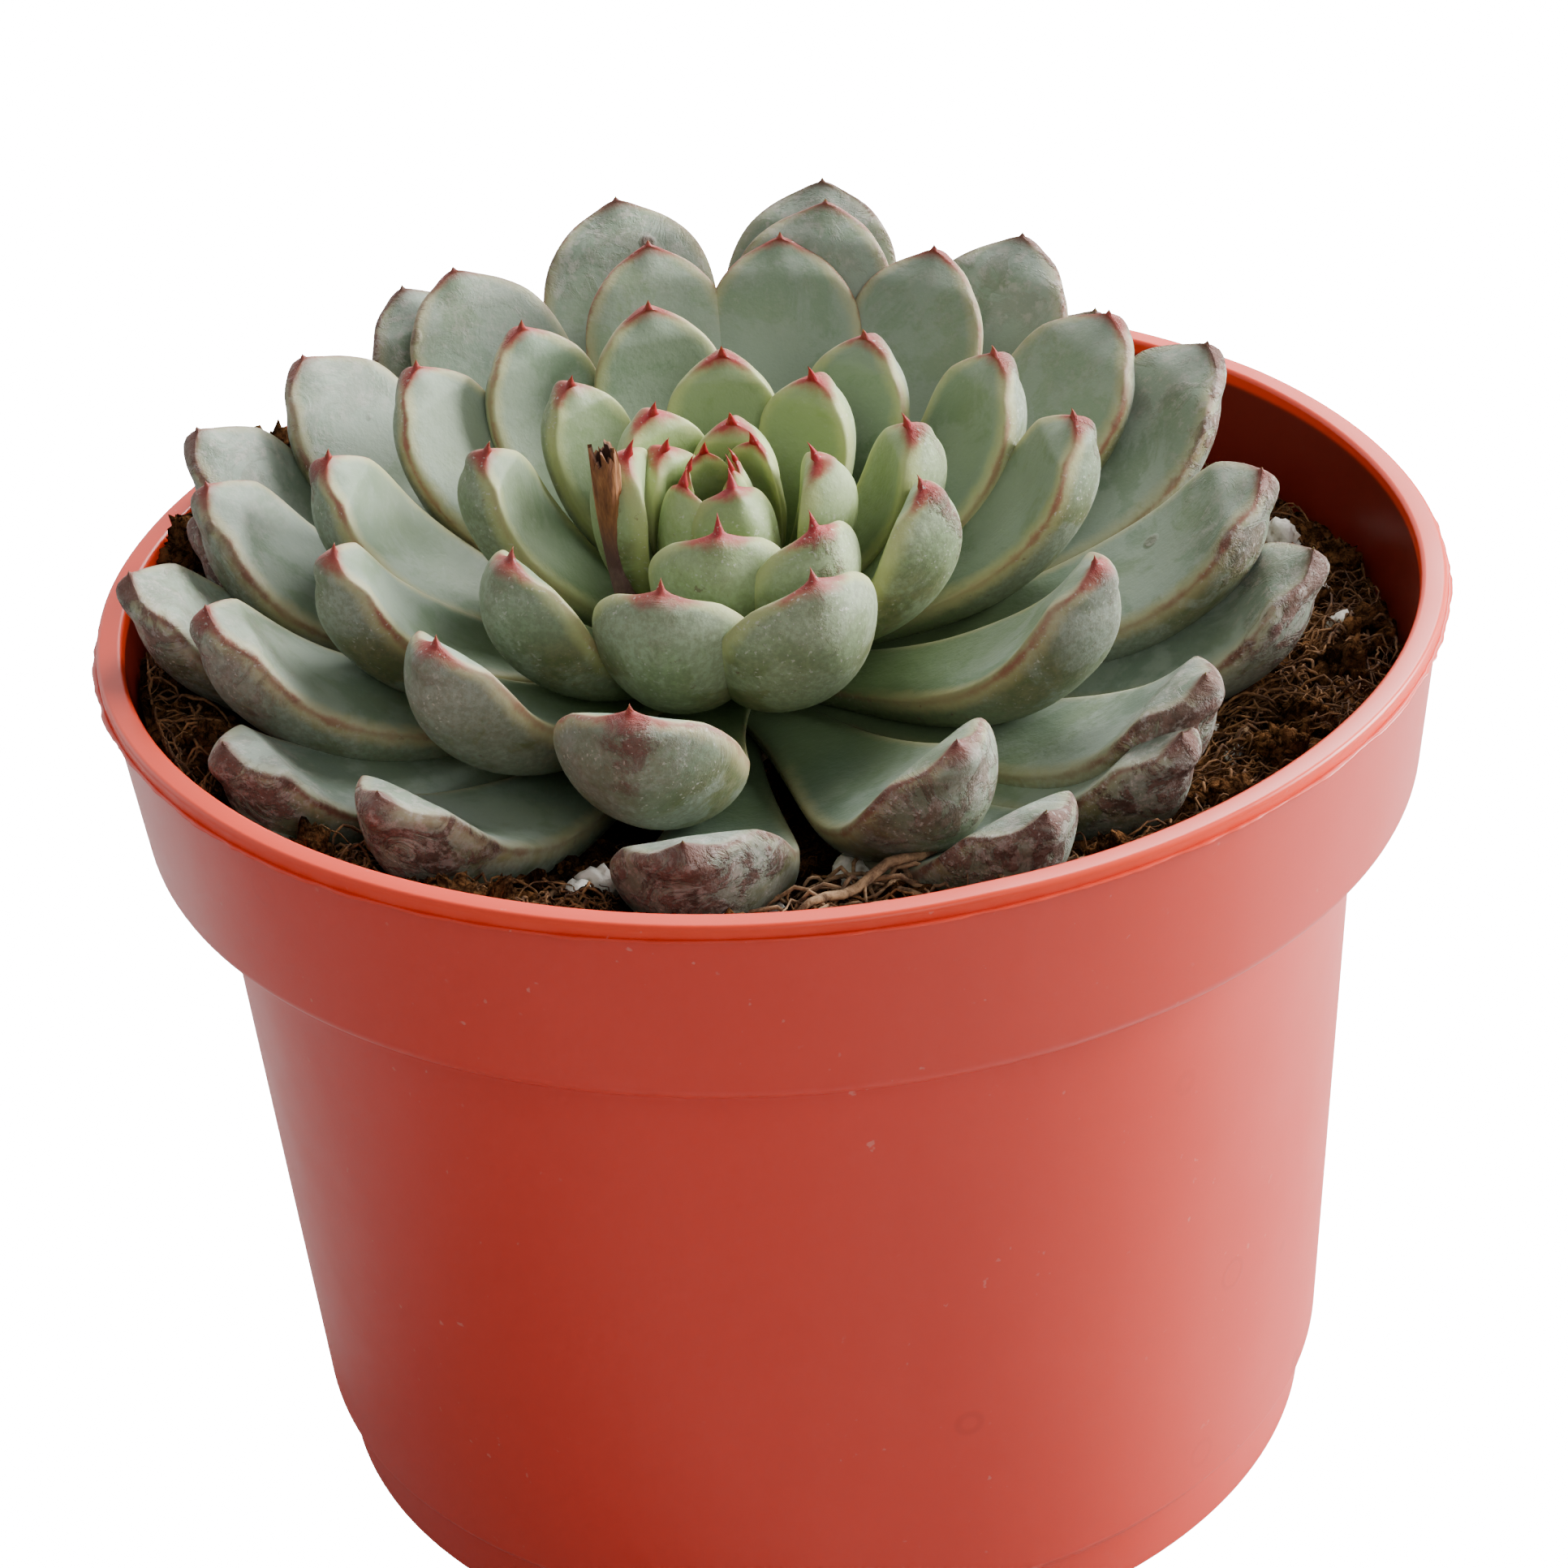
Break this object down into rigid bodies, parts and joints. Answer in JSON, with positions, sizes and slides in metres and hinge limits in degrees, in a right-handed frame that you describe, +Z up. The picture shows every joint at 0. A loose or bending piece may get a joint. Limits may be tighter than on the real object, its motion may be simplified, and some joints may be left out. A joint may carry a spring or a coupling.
{
  "type": "potted succulent",
  "caption": "Echeveria-type succulent rosette with thick blue-green, red-pointed leaves, growing in a round terracotta-red plastic nursery pot of soil.",
  "frame": {"origin": "centre of the pot's foot ring, on the surface that the pot stands on", "axes": "+Z up along the pot's axis; -Y is the front, the side that the rosette leans towards; +X is to the right seen from the front"},
  "size_m": [0.12, 0.12, 0.1051],
  "materials": {
    "pot_plastic": "satin",
    "soil": "matte",
    "stem_bark": "matte",
    "leaf_skin": "satin",
    "young_leaf_skin": "satin",
    "dry_stalk": "matte",
    "perlite": "matte",
    "twig_wood": "matte"
  },
  "bodies": {
    "root": {"pot": "pot_plastic", "soil": "soil", "stem_and_root": "stem_bark", "heart_bud": "young_leaf_skin", "old_flower_stalk": "dry_stalk", "leaf_01": "leaf_skin", "leaf_02": "leaf_skin", "leaf_03": "leaf_skin", "leaf_04": "leaf_skin", "leaf_05": "leaf_skin", "leaf_06": "leaf_skin", "leaf_07": "leaf_skin", "leaf_08": "leaf_skin", "leaf_09": "leaf_skin", "leaf_10": "leaf_skin", "leaf_11": "leaf_skin", "leaf_12": "leaf_skin", "leaf_13": "leaf_skin", "leaf_14": "leaf_skin", "leaf_15": "leaf_skin", "leaf_16": "leaf_skin", "leaf_17": "leaf_skin", "leaf_18": "leaf_skin", "leaf_19": "leaf_skin", "leaf_20": "leaf_skin", "leaf_21": "leaf_skin", "leaf_22": "leaf_skin", "leaf_23": "leaf_skin", "leaf_24": "leaf_skin", "leaf_25": "leaf_skin", "leaf_26": "leaf_skin", "leaf_27": "leaf_skin", "leaf_28": "leaf_skin", "leaf_29": "leaf_skin", "leaf_30": "leaf_skin", "leaf_31": "leaf_skin", "leaf_32": "leaf_skin", "leaf_33": "leaf_skin", "leaf_34": "leaf_skin", "leaf_35": "leaf_skin", "leaf_36": "leaf_skin", "leaf_37": "leaf_skin", "leaf_38": "leaf_skin", "leaf_39": "leaf_skin", "leaf_40": "leaf_skin", "leaf_41": "young_leaf_skin", "leaf_42": "young_leaf_skin", "leaf_43": "young_leaf_skin", "leaf_44": "young_leaf_skin", "leaf_45": "young_leaf_skin", "leaf_46": "young_leaf_skin", "leaf_47": "young_leaf_skin", "leaf_48": "young_leaf_skin", "leaf_49": "young_leaf_skin", "leaf_50": "young_leaf_skin", "leaf_51": "young_leaf_skin", "leaf_52": "young_leaf_skin", "leaf_53": "young_leaf_skin", "perlite_grain": "perlite", "bark_twig": "twig_wood"}
  },
  "joints": []
}
